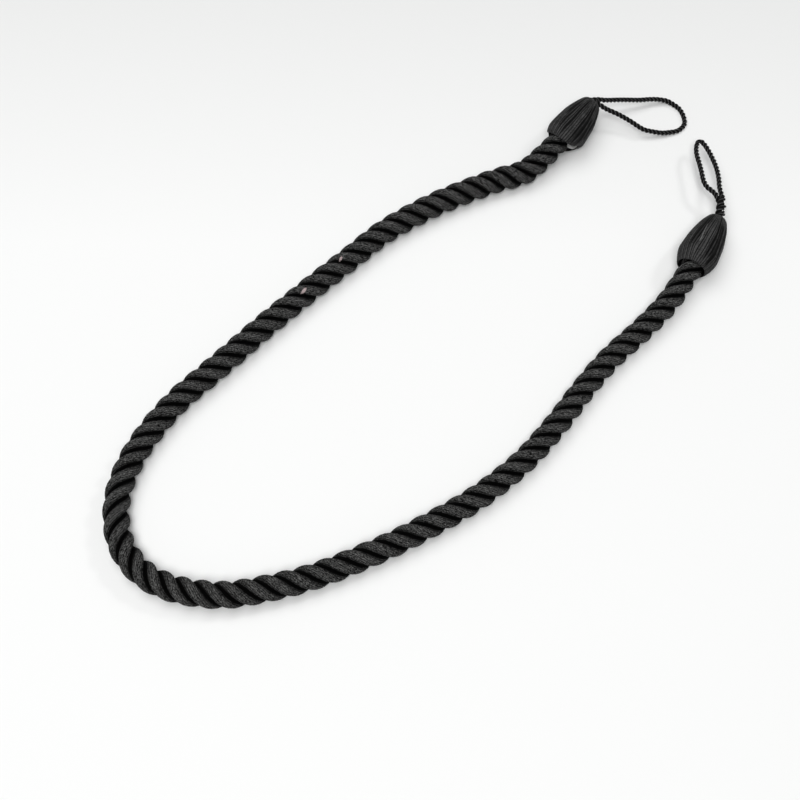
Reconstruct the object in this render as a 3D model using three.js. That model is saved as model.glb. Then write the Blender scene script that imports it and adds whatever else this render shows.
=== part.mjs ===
// A black rope curtain tieback, lying in a loose U on a flat surface.
// Millimetres, +Z up. The origin is the middle of the tieback's outline, on the surface.
import * as THREE from 'three';
import { mergeVertices } from 'three/addons/utils/BufferGeometryUtils.js';

// Rope and loop cord are both laid from three strands with a right-handed twist.
const STRANDS = 3;

// A strand's oval outline in the rope's cross-section, as shares of the rope's thickness.
const STRAND_CENTRE = 0.273;
const STRAND_DEPTH = 0.227;
const STRAND_BREADTH = 0.288;
const GROOVE = 0.256;

// Points kept on each strand's oval, in degrees from its crown, and steps along one full turn.
const ROPE_OVAL = [-85, -42, 0, 42, 85];
const ROPE_STEPS = 10;
const CORD_OVAL = [-50, 50];
const CORD_STEPS = 6;

// Route of the rope from the left cap to the right cap. thick is the rope's thickness, and
// crowns counts the strands that have passed over the top of the rope up to there.
const ROPE_ROUTE = [
  { x: 70.2, y: 107.6, z: 10.6, thick: 11.2, crowns: 0.8 },
  { x: 66.8, y: 103.4, z: 10.0, thick: 11.2, crowns: 1.55 },
  { x: 63.6, y: 99.7, z: 9.5, thick: 11.4, crowns: 2.2 },
  { x: 56.6, y: 92.6, z: 8.0, thick: 12.0, crowns: 3.6 },
  { x: 48.1, y: 85.8, z: 6.5, thick: 12.3, crowns: 5.07 },
  { x: 33.7, y: 80.9, z: 5.8, thick: 12.3, crowns: 6.96 },
  { x: 15.1, y: 73.1, z: 5.8, thick: 12.3, crowns: 9.36 },
  { x: -2.8, y: 63.8, z: 5.8, thick: 12.3, crowns: 11.71 },
  { x: -19.8, y: 53.0, z: 5.7, thick: 12.1, crowns: 14.05 },
  { x: -35.0, y: 39.7, z: 5.6, thick: 12.0, crowns: 16.36 },
  { x: -53.5, y: 23.1, z: 5.6, thick: 11.9, crowns: 19.21 },
  { x: -71.4, y: 6.6, z: 5.6, thick: 12.0, crowns: 21.99 },
  { x: -88.4, y: -10.2, z: 5.7, thick: 12.2, crowns: 24.7 },
  { x: -101.7, y: -23.5, z: 5.7, thick: 12.2, crowns: 26.83 },
  { x: -114.8, y: -36.3, z: 5.7, thick: 12.1, crowns: 28.94 },
  { x: -125.7, y: -51.1, z: 5.7, thick: 12.2, crowns: 31.03 },
  { x: -134.3, y: -67.2, z: 5.7, thick: 12.1, crowns: 33.12 },
  { x: -138.2, y: -85.1, z: 5.7, thick: 12.1, crowns: 35.2 },
  { x: -135.2, y: -103.2, z: 5.7, thick: 12.2, crowns: 37.26 },
  { x: -125.5, y: -116.1, z: 5.7, thick: 12.2, crowns: 39.05 },
  { x: -111.8, y: -123.5, z: 5.6, thick: 12.2, crowns: 40.8 },
  { x: -90.4, y: -126.6, z: 5.7, thick: 12.2, crowns: 43.26 },
  { x: -69.3, y: -123.6, z: 5.7, thick: 12.1, crowns: 45.65 },
  { x: -48.8, y: -117.8, z: 5.6, thick: 11.9, crowns: 47.98 },
  { x: -24.9, y: -107.9, z: 5.6, thick: 11.9, crowns: 50.77 },
  { x: -1.4, y: -96.0, z: 5.5, thick: 11.8, crowns: 53.64 },
  { x: 21.6, y: -82.1, z: 5.5, thick: 11.7, crowns: 56.67 },
  { x: 39.5, y: -67.7, z: 5.4, thick: 11.6, crowns: 59.36 },
  { x: 55.6, y: -50.2, z: 5.5, thick: 11.7, crowns: 62.18 },
  { x: 70.5, y: -30.7, z: 5.5, thick: 11.7, crowns: 65.08 },
  { x: 85.1, y: -13.7, z: 5.5, thick: 11.7, crowns: 67.71 },
  { x: 99.9, y: -0.1, z: 5.8, thick: 11.6, crowns: 70.07 },
  { x: 112.1, y: 12.8, z: 6.8, thick: 11.6, crowns: 72.23 },
  { x: 120.8, y: 24.7, z: 8.3, thick: 11.4, crowns: 74.08 },
  { x: 124.9, y: 30.8, z: 9.1, thick: 11.2, crowns: 75.05 },
  { x: 127.3, y: 35.1, z: 9.4, thick: 11.2, crowns: 75.72 },
];

// Thread-wound caps: where the middle of the mouth is, which way the axis points in plan and how far
// it tips up, and the outside as radius by distance from the mouth. The rope goes into the socket.
// lipOver and lipUnder are how far the soft lip hangs out above and below the rope, and lipBack how
// far it is pushed back most, at NOTCH_TURN degrees from straight above towards the right.
const CAP_SIDES = 30;
const FLUTES = 6;
const FLUTE_SHARE = 0.02;
const WALL_LEAST = 0.2;
const LIP_FADE = 8;
const LIP_ROUND = 0.5;
const NOTCH_ROUND = 4;
const NOTCH_TURN = 110;
const CAP_LEFT = {
  x: 66.9,
  y: 102.6,
  z: 9.05,
  heading: 51.9,
  pitch: 7,
  lipOver: 3.6,
  lipUnder: 1.5,
  lipBack: 3.9,
  socketRadius: 7.9,
  socketDepth: 8.8,
  profile: [
    { along: 0.0, radius: 8.2 },
    { along: 0.5, radius: 8.75 },
    { along: 1.6, radius: 9.35 },
    { along: 2.7, radius: 9.75 },
    { along: 4.1, radius: 9.9 },
    { along: 6.1, radius: 9.75 },
    { along: 7.8, radius: 9.6 },
    { along: 10.4, radius: 9.25 },
    { along: 13.1, radius: 8.9 },
    { along: 15.7, radius: 8.35 },
    { along: 18.3, radius: 7.55 },
    { along: 20.9, radius: 6.65 },
    { along: 22.8, radius: 5.9 },
    { along: 24.2, radius: 5.2 },
    { along: 25.1, radius: 4.4 },
    { along: 25.4, radius: 3.2 },
  ],
};
const CAP_RIGHT = {
  x: 124.2,
  y: 30.0,
  z: 9.55,
  heading: 60.2,
  pitch: 0,
  lipOver: 0,
  lipUnder: 0,
  lipBack: 0,
  socketRadius: 6.5,
  socketDepth: 6.6,
  profile: [
    { along: 0.0, radius: 6.9 },
    { along: 0.4, radius: 7.4 },
    { along: 1.6, radius: 8.05 },
    { along: 3.1, radius: 8.65 },
    { along: 4.8, radius: 9.25 },
    { along: 6.3, radius: 9.65 },
    { along: 7.9, radius: 9.85 },
    { along: 9.6, radius: 9.75 },
    { along: 12.6, radius: 9.5 },
    { along: 15.8, radius: 9.15 },
    { along: 18.9, radius: 8.6 },
    { along: 22.0, radius: 7.85 },
    { along: 25.2, radius: 6.95 },
    { along: 28.2, radius: 5.75 },
    { along: 29.8, radius: 4.95 },
    { along: 30.8, radius: 4.0 },
    { along: 31.2, radius: 2.9 },
  ],
};

// White moulded cup inside the left cap, round the end of the rope. Its rim is cut at a slight slant
// and shows beside the rope, low on the right, where the lip is pushed back.
const CORE_OUTER = 7.6;
const CORE_INNER = 7.05;
const CORE_MOUTH = 1.7;
const CORE_SLANT = 0.09;
const CORE_FLOOR = 7.2;
const CORE_END = 8.5;

// Loop cord: thickness and the length of one full turn of its strands.
const CORD_THICK = 2.4;
const CORD_LAY = 6.3;

// Eye of the left loop, from the cap's tip out and down to the surface and back.
const LEFT_LOOP = [
  { x: 82.1, y: 124.1, z: 12.3 },
  { x: 85.2, y: 124.6, z: 12.0 },
  { x: 89.6, y: 125.1, z: 10.7 },
  { x: 98.0, y: 127.3, z: 8.0 },
  { x: 108.4, y: 129.4, z: 5.0 },
  { x: 114.3, y: 130.8, z: 3.7 },
  { x: 118.9, y: 131.3, z: 2.7 },
  { x: 122.7, y: 131.0, z: 1.9 },
  { x: 126.0, y: 129.3, z: 1.2 },
  { x: 128.5, y: 127.1, z: 1.0 },
  { x: 129.9, y: 124.4, z: 0.9 },
  { x: 130.7, y: 121.1, z: 0.9 },
  { x: 130.6, y: 118.0, z: 0.9 },
  { x: 129.0, y: 115.4, z: 0.9 },
  { x: 126.1, y: 113.3, z: 1.1 },
  { x: 122.0, y: 112.1, z: 1.7 },
  { x: 117.9, y: 111.3, z: 2.5 },
  { x: 113.3, y: 111.3, z: 3.6 },
  { x: 108.7, y: 111.9, z: 4.6 },
  { x: 102.2, y: 115.3, z: 6.6 },
  { x: 95.7, y: 118.1, z: 8.7 },
  { x: 89.2, y: 120.0, z: 10.8 },
  { x: 87.1, y: 121.0, z: 11.7 },
  { x: 84.7, y: 122.6, z: 12.2 },
];

// Right loop: its two legs are twisted round each other along a short stem, then part into the eye.
const STEM = [
  { x: 140.5, y: 58.1, z: 9.6 },
  { x: 141.1, y: 60.7, z: 9.6 },
  { x: 141.6, y: 63.1, z: 9.6 },
  { x: 141.9, y: 65.7, z: 9.6 },
  { x: 141.8, y: 68.4, z: 9.6 },
];
const STEM_TURNS = 1.25;
const STEM_STOPS = 8;
const STEM_REACH = 1.35;
const RIGHT_LEG_TURN = 1 / 4;
const LEFT_LEG_TURN = 3 / 4;
const RIGHT_EYE = [
  { x: 142.5, y: 71.5, z: 9.5 },
  { x: 142.2, y: 74.6, z: 9.4 },
  { x: 142.3, y: 80.0, z: 9.2 },
  { x: 142.0, y: 85.0, z: 9.0 },
  { x: 141.0, y: 90.1, z: 8.8 },
  { x: 139.3, y: 96.0, z: 8.4 },
  { x: 137.5, y: 100.5, z: 8.0 },
  { x: 136.0, y: 102.4, z: 7.8 },
  { x: 134.6, y: 102.0, z: 7.9 },
  { x: 133.6, y: 99.9, z: 8.0 },
  { x: 133.0, y: 95.7, z: 8.4 },
  { x: 133.7, y: 89.1, z: 8.9 },
  { x: 134.3, y: 84.1, z: 9.1 },
  { x: 134.8, y: 78.6, z: 9.3 },
  { x: 136.0, y: 75.3, z: 9.4 },
  { x: 138.1, y: 72.9, z: 9.5 },
  { x: 139.7, y: 70.9, z: 9.5 },
];

const FULL_TURN = 2 * Math.PI;
const UP = new THREE.Vector3(0, 0, 1);
const AXIS = new THREE.Vector2(0, 0);
const LENGTH_STEPS = 20;

const blackYarn = new THREE.MeshStandardMaterial({ color: 0x2b2b2b, roughness: 0.75, metalness: 0 });
const blackThread = new THREE.MeshStandardMaterial({ color: 0x303030, roughness: 0.6, metalness: 0 });
const whiteCore = new THREE.MeshStandardMaterial({ color: 0xececea, roughness: 0.5, metalness: 0 });

const vector = (place) => new THREE.Vector3(place.x, place.y, place.z);

const curveThrough = (places) => new THREE.CatmullRomCurve3(places.map(vector));

// Cross-section of a laid rope of unit thickness: an oval for each strand, with grooves between.
function ropeSection(ovalDegrees) {
  const outline = [];
  for (let strand = 0; strand < STRANDS; strand += 1) {
    const turn = (strand / STRANDS) * FULL_TURN;
    for (const degrees of ovalDegrees) {
      const angle = THREE.MathUtils.degToRad(degrees);
      const across = STRAND_CENTRE + STRAND_DEPTH * Math.cos(angle);
      const aside = STRAND_BREADTH * Math.sin(angle);
      outline.push(new THREE.Vector2(across, aside).rotateAround(AXIS, turn));
    }
    const grooveTurn = turn + FULL_TURN / (2 * STRANDS);
    outline.push(new THREE.Vector2(GROOVE, 0).rotateAround(AXIS, grooveTurn));
  }
  return new THREE.Shape(outline);
}

// Directions over and beside a route at t, square to its run.
function frameAt(way, t) {
  const run = way.getTangent(t);
  const side = new THREE.Vector3().crossVectors(run, UP).normalize();
  const over = new THREE.Vector3().crossVectors(side, run);
  return { centre: way.getPoint(t), side, over };
}

// Place, frame and thickness of a rope where a given number of crowns has passed.
function ropeAt(rows, way, crowns) {
  let row = 0;
  while (row < rows.length - 2 && rows[row + 1].crowns <= crowns) {
    row += 1;
  }
  const from = rows[row];
  const to = rows[row + 1];
  const share = (crowns - from.crowns) / (to.crowns - from.crowns);
  const frame = frameAt(way, (row + share) / (rows.length - 1));
  return { ...frame, thick: THREE.MathUtils.lerp(from.thick, to.thick, share) };
}

// Lays a straight lobed bar along a route and twists it. No point goes below the surface, so the
// crowns underneath are flattened where the rope's weight presses them.
function laidRope(rows, section, stepsPerTurn) {
  const way = curveThrough(rows);
  const first = rows[0].crowns;
  const depth = rows[rows.length - 1].crowns - first;
  const steps = Math.round((depth / STRANDS) * stepsPerTurn);
  const bar = new THREE.ExtrudeGeometry(section, { depth, steps, bevelEnabled: false });
  bar.deleteAttribute('normal');
  bar.deleteAttribute('uv');
  const geometry = mergeVertices(bar);
  const points = geometry.getAttribute('position');
  const point = new THREE.Vector3();
  for (let i = 0; i < points.count; i += 1) {
    point.fromBufferAttribute(points, i);
    const crowns = first + point.z;
    const { centre, side, over, thick } = ropeAt(rows, way, crowns);
    const reach = new THREE.Vector2(point.x, point.y).rotateAround(AXIS, (crowns / STRANDS) * FULL_TURN);
    centre.addScaledVector(over, reach.x * thick);
    centre.addScaledVector(side, reach.y * thick);
    points.setXYZ(i, centre.x, centre.y, Math.max(centre.z, 0));
  }
  geometry.computeVertexNormals();
  return geometry;
}

// Gives a cord's route an even thickness and an even twist along its length.
function cordRows(places) {
  const lengths = curveThrough(places).getLengths((places.length - 1) * LENGTH_STEPS);
  return places.map((place, i) => ({
    ...place,
    thick: CORD_THICK,
    crowns: (STRANDS * lengths[i * LENGTH_STEPS]) / CORD_LAY,
  }));
}

// One of the two legs of the right loop's stem, from the cap up to the eye. endTurn says on which
// side of the stem the leg comes out at the top, as a share of a turn from straight above.
function stemLeg(endTurn) {
  const way = curveThrough(STEM);
  const leg = [];
  for (let stop = 0; stop <= STEM_STOPS; stop += 1) {
    const t = stop / STEM_STOPS;
    const turn = (endTurn - (1 - t) * STEM_TURNS) * FULL_TURN;
    const { centre, side, over } = frameAt(way, t);
    centre.addScaledVector(over, STEM_REACH * Math.cos(turn));
    centre.addScaledVector(side, STEM_REACH * Math.sin(turn));
    leg.push(centre);
  }
  return leg;
}

// Revolves an outline, given as radius and distance along, round the X axis into one closed body.
function closedLathe(outline, sides) {
  const lathe = new THREE.LatheGeometry(outline, sides);
  lathe.deleteAttribute('normal');
  lathe.deleteAttribute('uv');
  lathe.rotateZ(-FULL_TURN / 4);
  lathe.rotateX(FULL_TURN / 4);
  return mergeVertices(lathe);
}

// Turned outline, from the socket's floor round the mouth to the tip, with shallow gathers outside,
// a lip that hangs out over the rope and is pushed back beside it, and a flat where the cap rests.
function capGeometry(cap) {
  const pitch = THREE.MathUtils.degToRad(cap.pitch);
  const notchTurn = THREE.MathUtils.degToRad(NOTCH_TURN);
  const length = cap.profile[cap.profile.length - 1].along;
  const outside = cap.profile.map((row) => new THREE.Vector2(row.radius, row.along));
  const outline = [
    new THREE.Vector2(0, cap.socketDepth),
    new THREE.Vector2(cap.socketRadius, cap.socketDepth),
    new THREE.Vector2(cap.socketRadius, cap.profile[1].along),
    ...outside,
    new THREE.Vector2(0, length),
  ];
  const geometry = closedLathe(outline, CAP_SIDES);
  const points = geometry.getAttribute('position');
  const point = new THREE.Vector3();
  for (let i = 0; i < points.count; i += 1) {
    point.fromBufferAttribute(points, i);
    const radius = Math.hypot(point.y, point.z);
    const isBeyond = point.x > cap.socketDepth + WALL_LEAST;
    const isOutside = isBeyond || radius > cap.socketRadius + WALL_LEAST;
    const gather = (1 - Math.cos(FLUTES * Math.atan2(point.y, -point.z))) / 2;
    const shrink = isOutside ? 1 - FLUTE_SHARE * gather : 1;
    const turn = Math.atan2(-point.y, point.z);
    const over = Math.max(Math.cos(turn), 0) ** LIP_ROUND;
    const under = Math.max(-Math.cos(turn), 0);
    const beside = Math.max(Math.cos(turn - notchTurn), 0) ** NOTCH_ROUND;
    const hang = cap.lipOver * over + cap.lipUnder * under - cap.lipBack * beside;
    const along = point.x - hang * Math.max(1 - point.x / LIP_FADE, 0) ** 2;
    const rest = -(cap.z + along * Math.sin(pitch)) / Math.cos(pitch);
    points.setXYZ(i, along, point.y * shrink, Math.max(point.z * shrink, rest));
  }
  geometry.computeVertexNormals();
  return geometry;
}

// Cup with a floor, its slanted mouth towards the mouth of the cap.
function coreGeometry() {
  const outline = [
    new THREE.Vector2(0, CORE_FLOOR),
    new THREE.Vector2(CORE_INNER, CORE_FLOOR),
    new THREE.Vector2(CORE_INNER, CORE_MOUTH),
    new THREE.Vector2(CORE_OUTER, CORE_MOUTH),
    new THREE.Vector2(CORE_OUTER, CORE_END),
    new THREE.Vector2(0, CORE_END),
  ];
  const geometry = closedLathe(outline, CAP_SIDES);
  const points = geometry.getAttribute('position');
  for (let i = 0; i < points.count; i += 1) {
    if (points.getX(i) < CORE_MOUTH + WALL_LEAST) {
      points.setX(i, CORE_MOUTH + CORE_SLANT * points.getY(i));
    }
  }
  geometry.computeVertexNormals();
  return geometry;
}

function namedMesh(name, geometry, material) {
  const mesh = new THREE.Mesh(geometry, material);
  mesh.name = name;
  return mesh;
}

// A cap's group: its origin is the middle of the mouth and its X axis is the cap's axis.
function capGroup(cap) {
  const group = new THREE.Group();
  group.position.copy(vector(cap));
  group.rotation.order = 'ZYX';
  group.rotation.z = THREE.MathUtils.degToRad(cap.heading);
  group.rotation.y = -THREE.MathUtils.degToRad(cap.pitch);
  return group;
}

const cordSection = ropeSection(CORD_OVAL);
const rightLoop = [...stemLeg(RIGHT_LEG_TURN), ...RIGHT_EYE, ...stemLeg(LEFT_LEG_TURN).reverse()];

const leftEnd = capGroup(CAP_LEFT);
leftEnd.add(namedMesh('cap_left', capGeometry(CAP_LEFT), blackThread));
leftEnd.add(namedMesh('core_left', coreGeometry(), whiteCore));

const rightEnd = capGroup(CAP_RIGHT);
rightEnd.add(namedMesh('cap_right', capGeometry(CAP_RIGHT), blackThread));

const tieback = new THREE.Group();
tieback.add(namedMesh('rope', laidRope(ROPE_ROUTE, ropeSection(ROPE_OVAL), ROPE_STEPS), blackYarn));
tieback.add(leftEnd, rightEnd);
tieback.add(namedMesh('loop_left', laidRope(cordRows(LEFT_LOOP), cordSection, CORD_STEPS), blackThread));
tieback.add(namedMesh('loop_right', laidRope(cordRows(rightLoop), cordSection, CORD_STEPS), blackThread));

export default tieback;
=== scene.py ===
# A black rope curtain tieback that lies in an open U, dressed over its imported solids.
import math
from collections import namedtuple

import bmesh
import bpy
from mathutils import Matrix, Vector


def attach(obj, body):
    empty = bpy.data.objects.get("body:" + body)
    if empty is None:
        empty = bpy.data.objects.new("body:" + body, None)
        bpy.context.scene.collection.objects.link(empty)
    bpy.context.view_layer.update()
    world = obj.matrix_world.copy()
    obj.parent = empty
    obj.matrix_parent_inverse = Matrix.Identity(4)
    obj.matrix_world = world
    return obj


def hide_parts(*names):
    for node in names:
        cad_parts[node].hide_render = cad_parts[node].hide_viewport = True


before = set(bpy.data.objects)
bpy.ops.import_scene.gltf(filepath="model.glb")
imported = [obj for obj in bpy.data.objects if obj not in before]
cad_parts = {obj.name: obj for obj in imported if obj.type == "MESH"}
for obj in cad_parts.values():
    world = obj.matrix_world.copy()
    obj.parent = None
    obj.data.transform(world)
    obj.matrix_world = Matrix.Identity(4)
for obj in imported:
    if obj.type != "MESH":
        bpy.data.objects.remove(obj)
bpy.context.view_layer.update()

# Camera
# It is held over the near side of the tieback and tipped down at it, with nothing shifted, so that
# the U runs from the far right of the picture to the near left and back.
MM = 0.001
CAMERA_PLACE = Vector((-13.5, -262.7, 539.6)) * MM
CAMERA_TILT = math.radians(23)
CAMERA_LENS = 57.285
CAMERA_SENSOR = 36.0
CAMERA_NEAR = 0.05

camera_data = bpy.data.cameras.new("camera")
camera_data.lens = CAMERA_LENS
camera_data.sensor_width = CAMERA_SENSOR
camera_data.clip_start = CAMERA_NEAR
camera = bpy.data.objects.new("camera", camera_data)
camera.location = CAMERA_PLACE
camera.rotation_euler = (CAMERA_TILT, 0, 0)
bpy.context.collection.objects.link(camera)
bpy.context.scene.camera = camera

# Rope
# Three fat strands of soft black yarn, laid together with a right-handed twist. It lies loose on the
# floor, pressed a little flat there, and its two ends are pushed up into the caps.

# A strand's sizes are shares of the rope's thickness, and so is the length over which it swells and
# thins. A yarn's are in mm. A lag is how far the swelling of one is behind its neighbour's, in radians.
# The girth is the way round over all the strands, in circles through their centres.
STRANDS = 3
Strand = namedtuple("Strand", "centre depth breadth")
ROPE_STRAND = Strand(0.278, 0.222, 0.272)
STRAND_SWEEP = math.radians(130)
STRAND_UNEVEN = 0.022
STRAND_SWELL_LENGTH = 1.4
STRAND_LAG = 2.1
STRAND_GIRTH = 2
YARNS = 9
YARN_DEPTH = 0.32
YARN_WANDER = 0.05
YARN_FULLNESS = 0.68
YARN_UNEVEN = 0.32
YARN_SWELL_LENGTH = 31
YARN_LAG = 2.4
YARN_STRAND_LAG = 1.7
ROPE_POINTS = 54
ROPE_RINGS = 600
FULL_TURN = 2 * math.pi
UP = Vector((0, 0, 1))
GRID_HALF = 0.5
EDGE_MARGIN = 0.001
SAME_PLACE = 0.0001

Row = namedtuple("Row", "x y z thick crowns")
ROPE_ROUTE = [
    Row(70.2, 107.6, 10.6, 11.2, 0.8),
    Row(66.8, 103.4, 10.0, 11.2, 1.55),
    Row(63.6, 99.7, 9.5, 11.4, 2.2),
    Row(56.6, 92.6, 8.0, 12.0, 3.6),
    Row(48.1, 85.8, 6.5, 12.3, 5.07),
    Row(33.7, 80.9, 5.8, 12.3, 6.96),
    Row(15.1, 73.1, 5.8, 12.3, 9.36),
    Row(-2.8, 63.8, 5.8, 12.3, 11.71),
    Row(-19.8, 53.0, 5.7, 12.1, 14.05),
    Row(-35.0, 39.7, 5.6, 12.0, 16.36),
    Row(-53.5, 23.1, 5.6, 11.9, 19.21),
    Row(-71.4, 6.6, 5.6, 12.0, 21.99),
    Row(-88.4, -10.2, 5.7, 12.2, 24.7),
    Row(-101.7, -23.5, 5.7, 12.2, 26.83),
    Row(-114.8, -36.3, 5.7, 12.1, 28.94),
    Row(-125.7, -51.1, 5.7, 12.2, 31.03),
    Row(-134.3, -67.2, 5.7, 12.1, 33.12),
    Row(-138.2, -85.1, 5.7, 12.1, 35.2),
    Row(-135.2, -103.2, 5.7, 12.2, 37.26),
    Row(-125.5, -116.1, 5.7, 12.2, 39.05),
    Row(-111.8, -123.5, 5.6, 12.2, 40.8),
    Row(-90.4, -126.6, 5.7, 12.2, 43.26),
    Row(-69.3, -123.6, 5.7, 12.1, 45.65),
    Row(-48.8, -117.8, 5.6, 11.9, 47.98),
    Row(-24.9, -107.9, 5.6, 11.9, 50.77),
    Row(-1.4, -96.0, 5.5, 11.8, 53.64),
    Row(21.6, -82.1, 5.5, 11.7, 56.67),
    Row(39.5, -67.7, 5.4, 11.6, 59.36),
    Row(55.6, -50.2, 5.5, 11.7, 62.18),
    Row(70.5, -30.7, 5.5, 11.7, 65.08),
    Row(85.1, -13.7, 5.5, 11.7, 67.71),
    Row(99.9, -0.1, 5.8, 11.6, 70.07),
    Row(112.1, 12.8, 6.8, 11.6, 72.23),
    Row(120.8, 24.7, 8.3, 11.4, 74.08),
    Row(124.9, 30.8, 9.1, 11.2, 75.05),
    Row(127.3, 35.1, 9.4, 11.2, 75.72),
]
Snag = namedtuple("Snag", "across along lean_across lean_along width")
SNAGS = [
    Snag(18.6, 160.0, -3.4, 2.05, 0.5),
    Snag(16.9, 135.8, -2.3, 1.2, 0.42),
]
# A grain's tone is how strongly it lightens the yarn, and the darkening is taken off their sum.
Grain = namedtuple("Grain", "scale detail tone")
ROPE_FIBRES = Grain((2.0, 0.8, 1.0), 3.0, 4.6)
ROPE_FUZZ = Grain((2.6, 2.2, 1.0), 2.0, 5.4)
ROPE_PATCHES = Grain((0.3, 0.09, 1.0), 2.0, 0.6)
ROPE_DARKENING = 4.8
ROPE_GROOVE_POWER = 1.2
FIBRE_HEIGHT = 0.6
FUZZ_HEIGHT = 0.4
SNAG_TONE = 3.0
Finish = namedtuple("Finish", "rough worn_smoother shine relief relief_depth")
ROPE_FINISH = Finish(0.9, 0.2, 0.05, 0.7, 0.3)
# Near black, for the yarn's darkest fibres and for the painted shade in grooves and folds.
BLACK_AND_PAINTED_SHADE = (0.001, 0.001, 0.001, 1)
ROPE_GREY = (0.122, 0.122, 0.12, 1)
SNAG_PALE = (0.42, 0.34, 0.34, 1)
Stretch = namedtuple("Stretch", "start start_slope end end_slope")
Ring = namedtuple("Ring", "centre over side thick turn along")


def stretches_through(places):
    """The stretches of one smooth curve through the places."""
    lead_in = 2 * places[0] - places[1]
    lead_out = 2 * places[-1] - places[-2]
    run = [lead_in, *places, lead_out]
    stretches = []
    for before, start, end, after in zip(run, run[1:], run[2:], run[3:]):
        a = math.sqrt((start - before).length)
        b = math.sqrt((end - start).length)
        c = math.sqrt((after - end).length)
        start_slope = b * ((start - before) / a - (end - before) / (a + b) + (end - start) / b)
        end_slope = b * ((end - start) / b - (after - start) / (b + c) + (after - end) / c)
        stretches.append(Stretch(start, start_slope, end, end_slope))
    return stretches


def place_on(stretch, share):
    """Where a curve is at a share of one stretch."""
    s2 = share * share
    s3 = s2 * share
    from_start = stretch.start * (2 * s3 - 3 * s2 + 1) + stretch.start_slope * (s3 - 2 * s2 + share)
    from_end = stretch.end * (3 * s2 - 2 * s3) + stretch.end_slope * (s3 - s2)
    return from_start + from_end


def run_on(stretch, share):
    """Which way a curve runs at a share of one stretch."""
    s2 = share * share
    from_start = stretch.start * (6 * s2 - 6 * share) + stretch.start_slope * (3 * s2 - 4 * share + 1)
    from_end = stretch.end * (6 * share - 6 * s2) + stretch.end_slope * (3 * s2 - 2 * share)
    return (from_start + from_end).normalized()


def over_and_side(run):
    """Directions over and beside a run, square to it."""
    side = run.cross(UP).normalized()
    return side.cross(run), side


def lay_rings(rows, count):
    """Rings spaced evenly by the twist, from the first row of a route to its last."""
    stretches = stretches_through([Vector((row.x, row.y, row.z)) for row in rows])
    first = rows[0].crowns
    span = rows[-1].crowns - first
    rings = []
    at = 0
    for i in range(count + 1):
        crowns = first + span * i / count
        while at < len(rows) - 2 and rows[at + 1].crowns <= crowns:
            at += 1
        share = (crowns - rows[at].crowns) / (rows[at + 1].crowns - rows[at].crowns)
        centre = place_on(stretches[at], share)
        over, side = over_and_side(run_on(stretches[at], share))
        thick = rows[at].thick + (rows[at + 1].thick - rows[at].thick) * share
        along = rings[-1].along + (centre - rings[-1].centre).length if rings else 0.0
        rings.append(Ring(centre, over, side, thick, crowns / STRANDS * FULL_TURN, along))
    return rings


def yarn_dip(strand, across, along):
    """How far a strand's surface dips between its yarns, from nought on a yarn's back to one."""
    yarn = math.floor(YARNS * across + EDGE_MARGIN)
    aside = 2 * (YARNS * across - yarn) - 1
    lag = YARN_LAG * yarn + YARN_STRAND_LAG * strand
    fullness = YARN_FULLNESS + YARN_UNEVEN * math.sin(lag + along / YARN_SWELL_LENGTH)
    return fullness * aside * aside


def no_dip(strand, across, along):
    """A ply too fine to show its yarns."""
    return 0.0


def piece_from(shape, name):
    """Turns a finished bmesh into a piece of the scene."""
    mesh = bpy.data.meshes.new(name)
    shape.to_mesh(mesh)
    shape.free()
    piece = bpy.data.objects.new(name, mesh)
    bpy.context.collection.objects.link(piece)
    return piece


def laid_cord(name, rings, shape, points, dip):
    """A closed rope of laid strands, rolled up from a flat grid. Its UV map holds mm across the strands
    and mm along, and its attribute crest is nought in the grooves and one on the strands' backs."""
    cord = bmesh.new()
    width = STRANDS * points
    last = len(rings) - 1
    uv = cord.loops.layers.uv.new("UVMap")
    crest = cord.verts.layers.float.new("crest")
    bmesh.ops.create_grid(cord, x_segments=width, y_segments=last, size=GRID_HALF)
    for face in cord.faces:
        face.smooth = True
        for loop in face.loops:
            flat = loop.vert.co
            ring = rings[round((flat.y + GRID_HALF) * last)]
            across = (flat.x + GRID_HALF) * STRAND_GIRTH * FULL_TURN * shape.centre * ring.thick
            loop[uv].uv = (across, ring.along)
    for vert in cord.verts:
        ring = rings[round((vert.co.y + GRID_HALF) * last)]
        step = round((vert.co.x + GRID_HALF) * width)
        strand = step // points % STRANDS
        across = step % points / points
        lag = STRAND_LAG * strand
        wander = YARN_WANDER * math.sin(ring.along / ring.thick + lag) * math.sin(math.pi * across)
        sweep = (2 * across - 1 + wander) * STRAND_SWEEP
        fullness = 1 + STRAND_UNEVEN * math.sin(ring.along / (STRAND_SWELL_LENGTH * ring.thick) + lag)
        dipped = dip(strand, across, ring.along)
        depth = shape.depth * fullness - YARN_DEPTH * dipped / ring.thick
        breadth = shape.breadth * fullness - YARN_DEPTH * dipped / ring.thick
        reach = Vector((shape.centre + depth * math.cos(sweep), breadth * math.sin(sweep)))
        reach.rotate(Matrix.Rotation(ring.turn + strand / STRANDS * FULL_TURN, 2))
        place = ring.centre + ring.thick * (reach.x * ring.over + reach.y * ring.side)
        place.z = max(place.z, 0.0)
        vert[crest] = math.sqrt(max(0.0, math.cos(sweep))) * (1 - dipped)
        vert.co = place * MM
    seam = [vert for vert in cord.verts if vert.is_boundary]
    bmesh.ops.remove_doubles(cord, verts=seam, dist=SAME_PLACE * MM)
    bmesh.ops.holes_fill(cord, edges=[edge for edge in cord.edges if edge.is_boundary])
    bmesh.ops.recalc_face_normals(cord, faces=cord.faces)
    return piece_from(cord, name)


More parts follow.
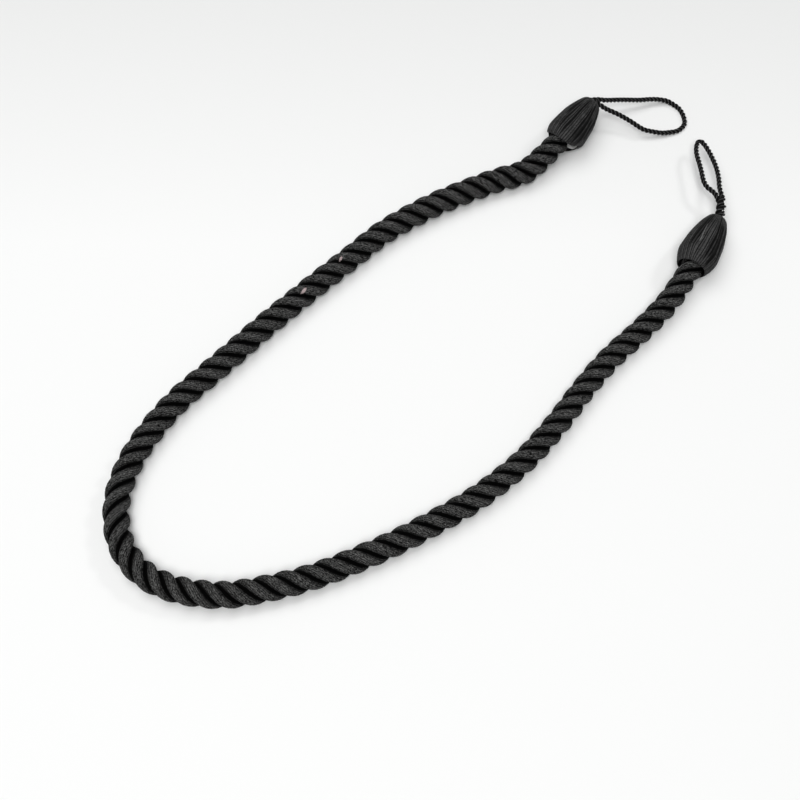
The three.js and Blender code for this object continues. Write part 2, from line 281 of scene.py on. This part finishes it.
class Wire:
    """A socket in a material. Sums and products of wires and numbers add Math nodes."""

    def __init__(self, tree, socket=None):
        self.tree = tree
        self.socket = socket

    def node(self, kind, settings, sockets, output=0):
        made = self.tree.nodes.new(kind)
        for name, value in settings.items():
            setattr(made, name, value)
        for name, value in sockets.items():
            if isinstance(value, Wire):
                self.tree.links.new(value.socket, made.inputs[name])
            else:
                made.inputs[name].default_value = value
        return Wire(self.tree, made.outputs[output] if made.outputs else None)

    def math(self, operation, first, second):
        return self.node("ShaderNodeMath", {"operation": operation}, {0: first, 1: second})

    def __add__(self, other):
        return self.math("ADD", self, other)

    def __radd__(self, other):
        return self.math("ADD", other, self)

    def __sub__(self, other):
        return self.math("SUBTRACT", self, other)

    def __rsub__(self, other):
        return self.math("SUBTRACT", other, self)

    def __mul__(self, other):
        return self.math("MULTIPLY", self, other)

    def __pow__(self, other):
        return self.math("POWER", self, other)

    def part(self, number):
        """One of this vector's three parts."""
        return self.node("ShaderNodeSeparateXYZ", {}, {"Vector": self}, output=number)

    def attribute(self, name):
        """A value that the mesh holds at each of its points."""
        return self.node("ShaderNodeAttribute", {"attribute_name": name}, {}, output="Fac")

    def cord_map(self):
        """Mm across the strands of a cord and mm along it."""
        return self.node("ShaderNodeUVMap", {"uv_map": "UVMap"}, {})

    def place(self):
        """Where a point of the piece is, in metres."""
        return self.node("ShaderNodeTexCoord", {}, {}, output="Object")

    def noise(self, grain):
        """Noise over this vector, stretched by the grain's scale for each of its directions."""
        spread = self.node("ShaderNodeVectorMath", {"operation": "MULTIPLY"}, {0: self, 1: grain.scale})
        return self.node("ShaderNodeTexNoise", {}, {"Vector": spread, "Scale": 1.0, "Detail": grain.detail})

    def blend(self, dark, light):
        """A colour from dark to light by this share. The node's colours are its inputs 6 and 7."""
        settings = {"data_type": "RGBA", "clamp_factor": True}
        return self.node("ShaderNodeMix", settings, {0: self, 6: dark, 7: light}, output=2)


def finish_piece(piece, name, looks):
    """Gives a piece a material. looks works from the material's wires and returns its sockets."""
    material = bpy.data.materials.new(name)
    material.use_nodes = True
    tree = material.node_tree
    tree.nodes.clear()
    start = Wire(tree)
    shader = start.node("ShaderNodeBsdfPrincipled", {}, looks(start))
    start.node("ShaderNodeOutputMaterial", {}, {"Surface": shader})
    piece.data.materials.append(material)


def thread_sockets(colour, painted_shading_and_fibres, height, finish):
    """Sockets of a matte yarn or thread, smoother on its crests, where the painted shading mask is high."""
    depth = finish.relief_depth * MM
    relief = {"Strength": finish.relief, "Distance": depth, "Height": height}
    return {
        "Base Color": colour,
        "Roughness": finish.rough - painted_shading_and_fibres * finish.worn_smoother,
        "Specular IOR Level": finish.shine,
        "Normal": height.node("ShaderNodeBump", {}, relief),
    }


def rope_yarn(start):
    """Soft matte black yarn with fine fibres along the strands, near black with painted shade down in the
    grooves between the strands and greyer on their backs. Two snags show the pale heart of a strand."""
    strand_map = start.cord_map()
    fibres = strand_map.noise(ROPE_FIBRES)
    fuzz = strand_map.noise(ROPE_FUZZ)
    patches = strand_map.noise(ROPE_PATCHES)
    speckle = fibres * ROPE_FIBRES.tone + fuzz * ROPE_FUZZ.tone + patches * ROPE_PATCHES.tone
    # Painted shade: the crest mask takes the colour to near black down in the grooves between the strands.
    painted_shading_and_fibres = start.attribute("crest") ** ROPE_GROOVE_POWER * (speckle - ROPE_DARKENING)
    colour = painted_shading_and_fibres.blend(BLACK_AND_PAINTED_SHADE, ROPE_GREY)
    for snag in SNAGS:
        across = strand_map.part(0) - snag.across
        along = strand_map.part(1) - snag.along
        reach = math.hypot(snag.lean_across, snag.lean_along)
        ahead = (across * snag.lean_across + along * snag.lean_along) * (1 / reach ** 2)
        aside = (across * snag.lean_along - along * snag.lean_across) * (1 / reach / snag.width)
        bare = (1 - aside * aside - ahead * ahead) * (fuzz * SNAG_TONE)
        colour = bare.blend(colour, SNAG_PALE)
    return thread_sockets(colour, painted_shading_and_fibres, fibres * FIBRE_HEIGHT + fuzz * FUZZ_HEIGHT, ROPE_FINISH)


rope_rings = lay_rings(ROPE_ROUTE, ROPE_RINGS)
rope = laid_cord("rope_strands", rope_rings, ROPE_STRAND, ROPE_POINTS, yarn_dip)
finish_piece(rope, "rope_yarn", rope_yarn)
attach(rope, "root")
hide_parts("rope")
rope_rings[0].centre * MM
rope_rings[-1].along * MM
[ring.centre * MM for ring in rope_rings]

# Left loop
# A thin three-ply cord of shiny black thread, doubled into an eye. Both its ends are caught in the
# tip of the left cap, and the eye slopes down and rests on the floor.
CORD_PLY = Strand(0.3, 0.2, 0.22)
CORD_THICK = 2.5
CORD_LAY = 6.3
CORD_POINTS = 12
CORD_STEP = 0.3
CORD_TUCK = 1.6
CORD_FIBRES = Grain((5.0, 1.6, 1.0), 2.0, 3.0)
CORD_DARKENING = 0.2
CORD_GROOVE_POWER = 18.0
CORD_FINISH = Finish(0.7, 0.2, 0.12, 0.5, 0.1)
# Grey of the painted highlight on the crown of each ply.
CORD_HIGHLIGHT_GREY = (0.07, 0.07, 0.071, 1)

Place = namedtuple("Place", "x y z thick", defaults=[CORD_THICK])
LEFT_LOOP = [
    Place(82.1, 124.1, 12.3),
    Place(85.2, 124.6, 12.0),
    Place(89.6, 125.1, 10.7),
    Place(98.0, 127.3, 8.0),
    Place(108.4, 129.4, 5.0),
    Place(114.3, 130.8, 3.7),
    Place(118.9, 131.3, 2.7),
    Place(122.7, 131.0, 1.9),
    Place(126.0, 129.3, 1.2),
    Place(128.5, 127.1, 1.0),
    Place(129.9, 124.4, 0.9),
    Place(130.7, 121.1, 0.9),
    Place(130.6, 118.0, 0.9),
    Place(129.0, 115.4, 0.9),
    Place(126.1, 113.3, 1.1),
    Place(122.0, 112.1, 1.7),
    Place(117.9, 111.3, 2.5),
    Place(113.3, 111.3, 3.6),
    Place(108.7, 111.9, 4.6),
    Place(102.2, 115.3, 6.6),
    Place(95.7, 118.1, 8.7),
    Place(89.2, 120.0, 10.8),
    Place(87.1, 121.0, 11.7),
    Place(84.7, 122.6, 12.2),
]


def cord_rings(places):
    """Rings of a loop cord along its route, with its ends tucked a little way into the cap."""
    points = [Vector((place.x, place.y, place.z)) for place in places]
    thicks = [place.thick for place in places]
    heading_in = (points[0] - points[1]).normalized()
    heading_out = (points[-1] - points[-2]).normalized()
    points = [points[0] + CORD_TUCK * heading_in, *points, points[-1] + CORD_TUCK * heading_out]
    rows = []
    crowns = 0.0
    for i, (point, thick) in enumerate(zip(points, [thicks[0], *thicks, thicks[-1]])):
        if i:
            crowns += STRANDS * (point - points[i - 1]).length / CORD_LAY
        rows.append(Row(*point, thick, crowns))
    return lay_rings(rows, round(crowns / STRANDS * CORD_LAY / CORD_STEP))


def cord_thread(start):
    """Tightly twisted black thread with a low shine and a painted highlight along each ply's crown."""
    fibres = start.cord_map().noise(CORD_FIBRES)
    # Painted highlight: only the very crown of each ply turns grey; the rest is painted shade black.
    painted_shading_and_fibres = start.attribute("crest") ** CORD_GROOVE_POWER * (fibres * CORD_FIBRES.tone - CORD_DARKENING)
    return thread_sockets(painted_shading_and_fibres.blend(BLACK_AND_PAINTED_SHADE, CORD_HIGHLIGHT_GREY), painted_shading_and_fibres, fibres, CORD_FINISH)


def loop_piece(name, node, places):
    """A finished loop cord that stands for its solid."""
    rings = cord_rings(places)
    loop = laid_cord(name, rings, CORD_PLY, CORD_POINTS, no_dip)
    finish_piece(loop, name, cord_thread)
    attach(loop, "root")
    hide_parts(node)
    rings[0].centre * MM
    rings[-1].along * MM
    [ring.centre * MM for ring in rings]


loop_piece("loop_left_cord", "loop_left", LEFT_LOOP)

# Right loop
# The same cord on the right cap. Its two legs are twisted round each other into a short stem, which
# holds the narrow eye up off the floor.
STEM = [
    Place(140.5, 58.1, 9.6),
    Place(141.1, 60.7, 9.6),
    Place(141.6, 63.1, 9.6),
    Place(141.9, 65.7, 9.6),
    Place(141.8, 68.4, 9.6),
]
STEM_TURNS = 1.25
STEM_STOPS = 8
STEM_REACH = 1.1
STEM_THICK = 2.8
RIGHT_LEG_TURN = 1 / 4
LEFT_LEG_TURN = 3 / 4
RIGHT_EYE = [
    Place(142.5, 71.5, 9.5),
    Place(142.2, 74.6, 9.4),
    Place(142.3, 80.0, 9.2),
    Place(142.0, 85.0, 9.0),
    Place(141.0, 90.1, 8.8),
    Place(139.3, 96.0, 8.4),
    Place(137.5, 100.5, 8.0),
    Place(136.0, 102.4, 7.8),
    Place(134.6, 102.0, 7.9),
    Place(133.6, 99.9, 8.0),
    Place(133.0, 95.7, 8.4),
    Place(133.7, 89.1, 8.9),
    Place(134.3, 84.1, 9.1),
    Place(134.8, 78.6, 9.3),
    Place(136.0, 75.3, 9.4),
    Place(138.1, 72.9, 9.5),
    Place(139.7, 70.9, 9.5),
]


def stem_leg(end_turn):
    """One leg of the stem, from the cap up to the eye, wound round the other leg."""
    stretches = stretches_through([Vector((place.x, place.y, place.z)) for place in STEM])
    leg = []
    for stop in range(STEM_STOPS + 1):
        part = stop / STEM_STOPS * len(stretches)
        at = min(int(part), len(stretches) - 1)
        over, side = over_and_side(run_on(stretches[at], part - at))
        turn = (end_turn - (1 - stop / STEM_STOPS) * STEM_TURNS) * FULL_TURN
        off = STEM_REACH * (math.cos(turn) * over + math.sin(turn) * side)
        leg.append(Place(*(place_on(stretches[at], part - at) + off), STEM_THICK))
    return leg


right_route = [*stem_leg(RIGHT_LEG_TURN), *RIGHT_EYE, *reversed(stem_leg(LEFT_LEG_TURN))]
loop_piece("loop_right_cord", "loop_right", right_route)

# Left cap
# A hollow bell wound lengthwise with fine black thread, over the lip and into the mouth, so that the
# threads gather into a few broad folds. The rope's end is glued inside it.
CAP_THREADS = 48
THREAD_POINTS = 8
THREAD_DEPTH = 0.3
THREAD_RADIUS = 8.0
THREAD_FULLNESS = 0.55
THREAD_UNEVEN = 0.45
THREAD_SWELL_LENGTH = 11
THREAD_LAG = 2.9
Wave = namedtuple("Wave", "reach length turns")
THREAD_WANDER = [Wave(0.028, 6, 3), Wave(0.016, 2.7, 7)]
GATHER_FADE = 4
SOCKET_MARGIN = 0.05
PROFILE_STEPS = 4
LIP_FADE = 8
LIP_ROUND = 0.5
NOTCH_ROUND = 4
NOTCH_TURN = math.radians(110)
STREAK_WIDTH = 1.5
STREAK_TONE = 2.0
CAP_FUZZ = Grain((1500.0, 1500.0, 1500.0), 2.0, 2.2)
CAP_PATCHES = Grain((260.0, 260.0, 260.0), 2.0, 1.2)
CAP_DARKENING = 0.9
CAP_GROOVE_POWER = 3.2
CAP_FINISH = Finish(0.75, 0.15, 0.12, 0.4, 0.15)
# The grey of the threads' backs, part thread colour and part painted sheen.
CAP_THREAD_AND_SHEEN_GREY = (0.056, 0.056, 0.056, 1)
STREAK_PALE = (0.17, 0.17, 0.17, 1)

Bell = namedtuple(
    "Bell",
    "x y z heading pitch lip_over lip_under lip_back socket_radius socket_depth profile gathers streaks",
)
Turning = namedtuple("Turning", "along radius")
Gather = namedtuple("Gather", "angle width depth start end")
Streak = namedtuple("Streak", "start_angle end_angle start end")
CAP_LEFT = Bell(
    x=66.9,
    y=102.6,
    z=9.05,
    heading=math.radians(51.9),
    pitch=math.radians(7),
    lip_over=3.6,
    lip_under=1.5,
    lip_back=3.9,
    socket_radius=7.9,
    socket_depth=8.8,
    profile=[
        Turning(0.0, 8.2),
        Turning(0.5, 8.75),
        Turning(1.6, 9.35),
        Turning(2.7, 9.75),
        Turning(4.1, 9.9),
        Turning(6.1, 9.75),
        Turning(7.8, 9.6),
        Turning(10.4, 9.25),
        Turning(13.1, 8.9),
        Turning(15.7, 8.35),
        Turning(18.3, 7.55),
        Turning(20.9, 6.65),
        Turning(22.8, 5.9),
        Turning(24.2, 5.2),
        Turning(25.1, 4.4),
        Turning(25.4, 3.2),
    ],
    gathers=[
        Gather(63, 3.5, 0.2, 8.0, 25.0),
        Gather(75, 3, 0.16, 0.0, 20.0),
        Gather(91, 3, 0.24, 0.0, 25.0),
        Gather(121, 3, 0.24, 0.0, 22.0),
        Gather(133, 3.5, 0.28, 0.0, 25.0),
        Gather(147, 4, 0.22, 0.0, 16.0),
        Gather(162, 3.5, 0.25, 4.0, 25.0),
        Gather(235, 8, 0.25, 0.0, 25.0),
        Gather(330, 8, 0.25, 4.0, 25.0),
    ],
    streaks=[],
)


def seat_of(bell):
    """Where a cap sits, for a piece made with the cap's axis as its X axis, in mm."""
    turn = Matrix.Rotation(bell.heading, 4, "Z") @ Matrix.Rotation(-bell.pitch, 4, "Y")
    return Matrix.Scale(MM, 4) @ Matrix.Translation((bell.x, bell.y, bell.z)) @ turn


def spun_wall(wall, sides):
    """A closed shape from its wall's outline, spun round the X axis."""
    shape = bmesh.new()
    verts = [shape.verts.new(point) for point in wall]
    edges = [shape.edges.new(pair) for pair in zip(verts, verts[1:])]
    bmesh.ops.spin(
        shape,
        geom=verts + edges,
        cent=(0, 0, 0),
        axis=(1, 0, 0),
        angle=FULL_TURN,
        steps=sides,
        use_merge=True,
    )
    bmesh.ops.remove_doubles(shape, verts=shape.verts, dist=SAME_PLACE)
    bmesh.ops.recalc_face_normals(shape, faces=shape.faces)
    return shape


def cap_piece(name, node, bell):
    """A finished cap: its turned wall, spun round and drawn in between threads and along gathers."""
    outside = stretches_through([Vector((row.along, row.radius, 0)) for row in bell.profile])
    wall = [
        Vector((bell.socket_depth, 0, 0)),
        Vector((bell.socket_depth, bell.socket_radius, 0)),
        Vector((bell.profile[1].along, bell.socket_radius, 0)),
    ]
    for stretch in outside:
        wall += [place_on(stretch, i / PROFILE_STEPS) for i in range(PROFILE_STEPS)]
    wall.append(outside[-1].end)
    wall.append(Vector((bell.profile[-1].along, 0, 0)))
    cap = spun_wall(wall, CAP_THREADS * THREAD_POINTS)
    crest = cap.verts.layers.float.new("crest")
    pale = cap.verts.layers.float.new("pale")
    for vert in cap.verts:
        along, aside, up = vert.co
        radius = math.hypot(aside, up)
        angle = math.atan2(up, aside) % FULL_TURN
        waves = [wave.reach * math.sin(along / wave.length + wave.turns * angle) for wave in THREAD_WANDER]
        wander = sum(waves)
        beyond_socket = along > bell.socket_depth + SOCKET_MARGIN
        if beyond_socket or radius > bell.socket_radius + SOCKET_MARGIN:
            lane = angle / FULL_TURN * CAP_THREADS
            thread = math.floor(lane + EDGE_MARGIN)
            off = 2 * (lane - thread) - 1
            swell = math.sin(THREAD_LAG * thread + along / THREAD_SWELL_LENGTH)
            fullness = THREAD_FULLNESS + THREAD_UNEVEN * swell
            dip = THREAD_DEPTH * fullness * off * off
            for gather in bell.gathers:
                off = ((math.degrees(angle) - gather.angle + 180) % 360 - 180) / gather.width
                inside = min(along - gather.start, gather.end - along)
                share = max(0.0, min(1.0, inside / GATHER_FADE))
                dip += gather.depth * share * math.exp(-off * off)
            for streak in bell.streaks:
                share = (along - streak.start) / (streak.end - streak.start)
                centre = streak.start_angle + (streak.end_angle - streak.start_angle) * share
                off = math.degrees(angle) - centre
                vert[pale] = max(0.0, 1 - abs(off) / STREAK_WIDTH) if 0 < share < 1 else 0.0
            dip *= min(1.0, radius / THREAD_RADIUS)
            # The crest falls in the thread grooves and the gathers, where the colour paints shade.
            vert[crest] = max(0.0, 1 - dip / THREAD_DEPTH)
            radius -= dip
        aside = radius * math.cos(angle + wander)
        up = radius * math.sin(angle + wander)
        turn = math.atan2(-aside, up)
        over = max(math.cos(turn), 0.0) ** LIP_ROUND
        beside = max(math.cos(turn - NOTCH_TURN), 0.0) ** NOTCH_ROUND
        under = max(-math.cos(turn), 0.0)
        hang = bell.lip_over * over + bell.lip_under * under - bell.lip_back * beside
        along -= hang * max(1 - along / LIP_FADE, 0.0) ** 2
        rest = -(bell.z + along * math.sin(bell.pitch)) / math.cos(bell.pitch)
        vert.co = (along, aside, max(up, rest))
    for face in cap.faces:
        face.smooth = True
    cap.transform(seat_of(bell))
    piece = piece_from(cap, name)
    finish_piece(piece, name, cap_thread)
    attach(piece, "root")
    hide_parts(node)


def cap_thread(start):
    """Fine black thread laid side by side, with painted sheen along the threads and painted shade in
    the grooves and folds.
    """
    place = start.place()
    fuzz = place.noise(CAP_FUZZ)
    patches = place.noise(CAP_PATCHES)
    speckle = fuzz * CAP_FUZZ.tone + patches * CAP_PATCHES.tone
    # Painted light: the crest mask greys the threads' backs as a sheen and darkens grooves and gathers as
    # shade.
    painted_shading_and_fibres = start.attribute("crest") ** CAP_GROOVE_POWER * (speckle - CAP_DARKENING)
    pale = start.attribute("pale") * (fuzz * STREAK_TONE)
    colour = pale.blend(painted_shading_and_fibres.blend(BLACK_AND_PAINTED_SHADE, CAP_THREAD_AND_SHEEN_GREY), STREAK_PALE)
    return thread_sockets(colour, painted_shading_and_fibres, fuzz, CAP_FINISH)


cap_piece("cap_left_thread", "cap_left", CAP_LEFT)

# Left cap's core
# A white moulded cup that the thread is wound over. Its rim is cut at a slight slant and shows beside
# the rope, low on the right, where the lip is pushed back.
CORE_OUTER = 7.6
CORE_INNER = 7.05
CORE_MOUTH = 1.7
CORE_SLANT = 0.09
CORE_BEVEL = 1.2
CORE_FLOOR = 7.2
CORE_END = 8.5
CORE_SIDES = 96
CORE_RIM_MARGIN = 0.2
CORE_CLOUD = Grain((300.0, 300.0, 300.0), 2.0, 0.1)
CORE_ROUGH = 0.45
CORE_SHADE = (0.87, 0.87, 0.85, 1)
CORE_WHITE = (0.95, 0.95, 0.94, 1)

core_wall = [
    (CORE_FLOOR, 0, 0),
    (CORE_FLOOR, CORE_INNER, 0),
    (CORE_MOUTH + CORE_BEVEL, CORE_INNER, 0),
    (CORE_MOUTH, CORE_OUTER, 0),
    (CORE_END, CORE_OUTER, 0),
    (CORE_END, 0, 0),
]
core = spun_wall(core_wall, CORE_SIDES)
for vert in core.verts:
    if vert.co.x < CORE_MOUTH + CORE_BEVEL + CORE_RIM_MARGIN:
        vert.co.x += CORE_SLANT * vert.co.y
core.transform(seat_of(CAP_LEFT))
core_piece = piece_from(core, "core_left_cup")


def core_plastic(start):
    """Plain white plastic, a little uneven."""
    cloud = start.place().noise(CORE_CLOUD)
    return {
        "Base Color": cloud.blend(CORE_SHADE, CORE_WHITE),
        "Roughness": CORE_ROUGH + cloud * CORE_CLOUD.tone,
    }


finish_piece(core_piece, "core_plastic", core_plastic)
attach(core_piece, "root")
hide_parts("core_left")

# Right cap
# The same kind of bell on the other end of the rope, a little longer, with its mouth drawn in close
# round the rope.
CAP_RIGHT = Bell(
    x=124.2,
    y=30.0,
    z=9.55,
    heading=math.radians(60.2),
    pitch=0.0,
    lip_over=0.0,
    lip_under=0.0,
    lip_back=0.0,
    socket_radius=6.5,
    socket_depth=6.6,
    profile=[
        Turning(0.0, 6.9),
        Turning(0.4, 7.4),
        Turning(1.6, 8.05),
        Turning(3.1, 8.65),
        Turning(4.8, 9.25),
        Turning(6.3, 9.65),
        Turning(7.9, 9.85),
        Turning(9.6, 9.75),
        Turning(12.6, 9.5),
        Turning(15.8, 9.15),
        Turning(18.9, 8.6),
        Turning(22.0, 7.85),
        Turning(25.2, 6.95),
        Turning(28.2, 5.75),
        Turning(29.8, 4.95),
        Turning(30.8, 4.0),
        Turning(31.2, 2.9),
    ],
    gathers=[
        Gather(58, 3.5, 0.2, 6.0, 31.0),
        Gather(67, 3, 0.16, 8.0, 31.0),
        Gather(111, 3, 0.24, 2.0, 31.0),
        Gather(122, 3, 0.2, 4.0, 28.0),
        Gather(132, 3.5, 0.28, 0.0, 26.0),
        Gather(150, 4, 0.25, 5.0, 31.0),
        Gather(250, 8, 0.25, 0.0, 31.0),
        Gather(345, 8, 0.25, 0.0, 20.0),
    ],
    streaks=[Streak(78, 68, 9.7, 21.4)],
)
cap_piece("cap_right_thread", "cap_right", CAP_RIGHT)

# Floor and light
# A white sheet, greyed with painted shade towards its far edge, under soft white light from the far left
# and from over the near side, with a weak lamp at the far right.
FLOOR_SIZE = 3.0
FLOOR_WHITE = (0.88, 0.885, 0.88, 1)
# The far edge's grey is painted shade, not the sheet's own colour.
FLOOR_FAR_SHADE = (0.76, 0.765, 0.76, 1)
FLOOR_FADE = 5.3
FLOOR_FADE_LATE = 0.26
FLOOR_ROUGH = 0.9
FLOOR_SHINE = 0.2
ROOM_WHITE = (1, 1, 1, 1)
ROOM_LIGHT = 0.17

sheet = bmesh.new()
bmesh.ops.create_grid(sheet, x_segments=1, y_segments=1, size=FLOOR_SIZE)
floor = piece_from(sheet, "floor")


def floor_paint(start):
    """Matte white, greyed towards the far edge with painted shade, where less light falls."""
    # Painted shade: the floor turns greyer towards its far edge.
    far = start.place().part(1)
    return {
        "Base Color": (far * FLOOR_FADE - FLOOR_FADE_LATE).blend(FLOOR_WHITE, FLOOR_FAR_SHADE),
        "Roughness": FLOOR_ROUGH,
        "Specular IOR Level": FLOOR_SHINE,
    }


finish_piece(floor, "floor_white", floor_paint)

Lamp = namedtuple("Lamp", "name place size power")
LAMPS = [
    Lamp("sky_left", (-0.58, 0.58, 2.15), 1.9, 25.5),
    Lamp("sky_near", (-0.15, -0.9, 1.98), 1.2, 25.8),
    Lamp("lamp_right", (1.52, 0.88, 1.6), 0.4, 6.5),
]
for lamp in LAMPS:
    light = bpy.data.lights.new(lamp.name, "AREA")
    light.shape = "DISK"
    light.size = lamp.size
    light.energy = lamp.power
    holder = bpy.data.objects.new(lamp.name, light)
    holder.location = lamp.place
    holder.rotation_euler = Vector(lamp.place).to_track_quat("Z", "Y").to_euler()
    bpy.context.collection.objects.link(holder)

world = bpy.data.worlds.new("room")
world.use_nodes = True
sky = world.node_tree.nodes["Background"]
sky.inputs["Color"].default_value = ROOM_WHITE
sky.inputs["Strength"].default_value = ROOM_LIGHT
bpy.context.scene.world = world
bpy.context.scene.view_settings.view_transform = "Standard"
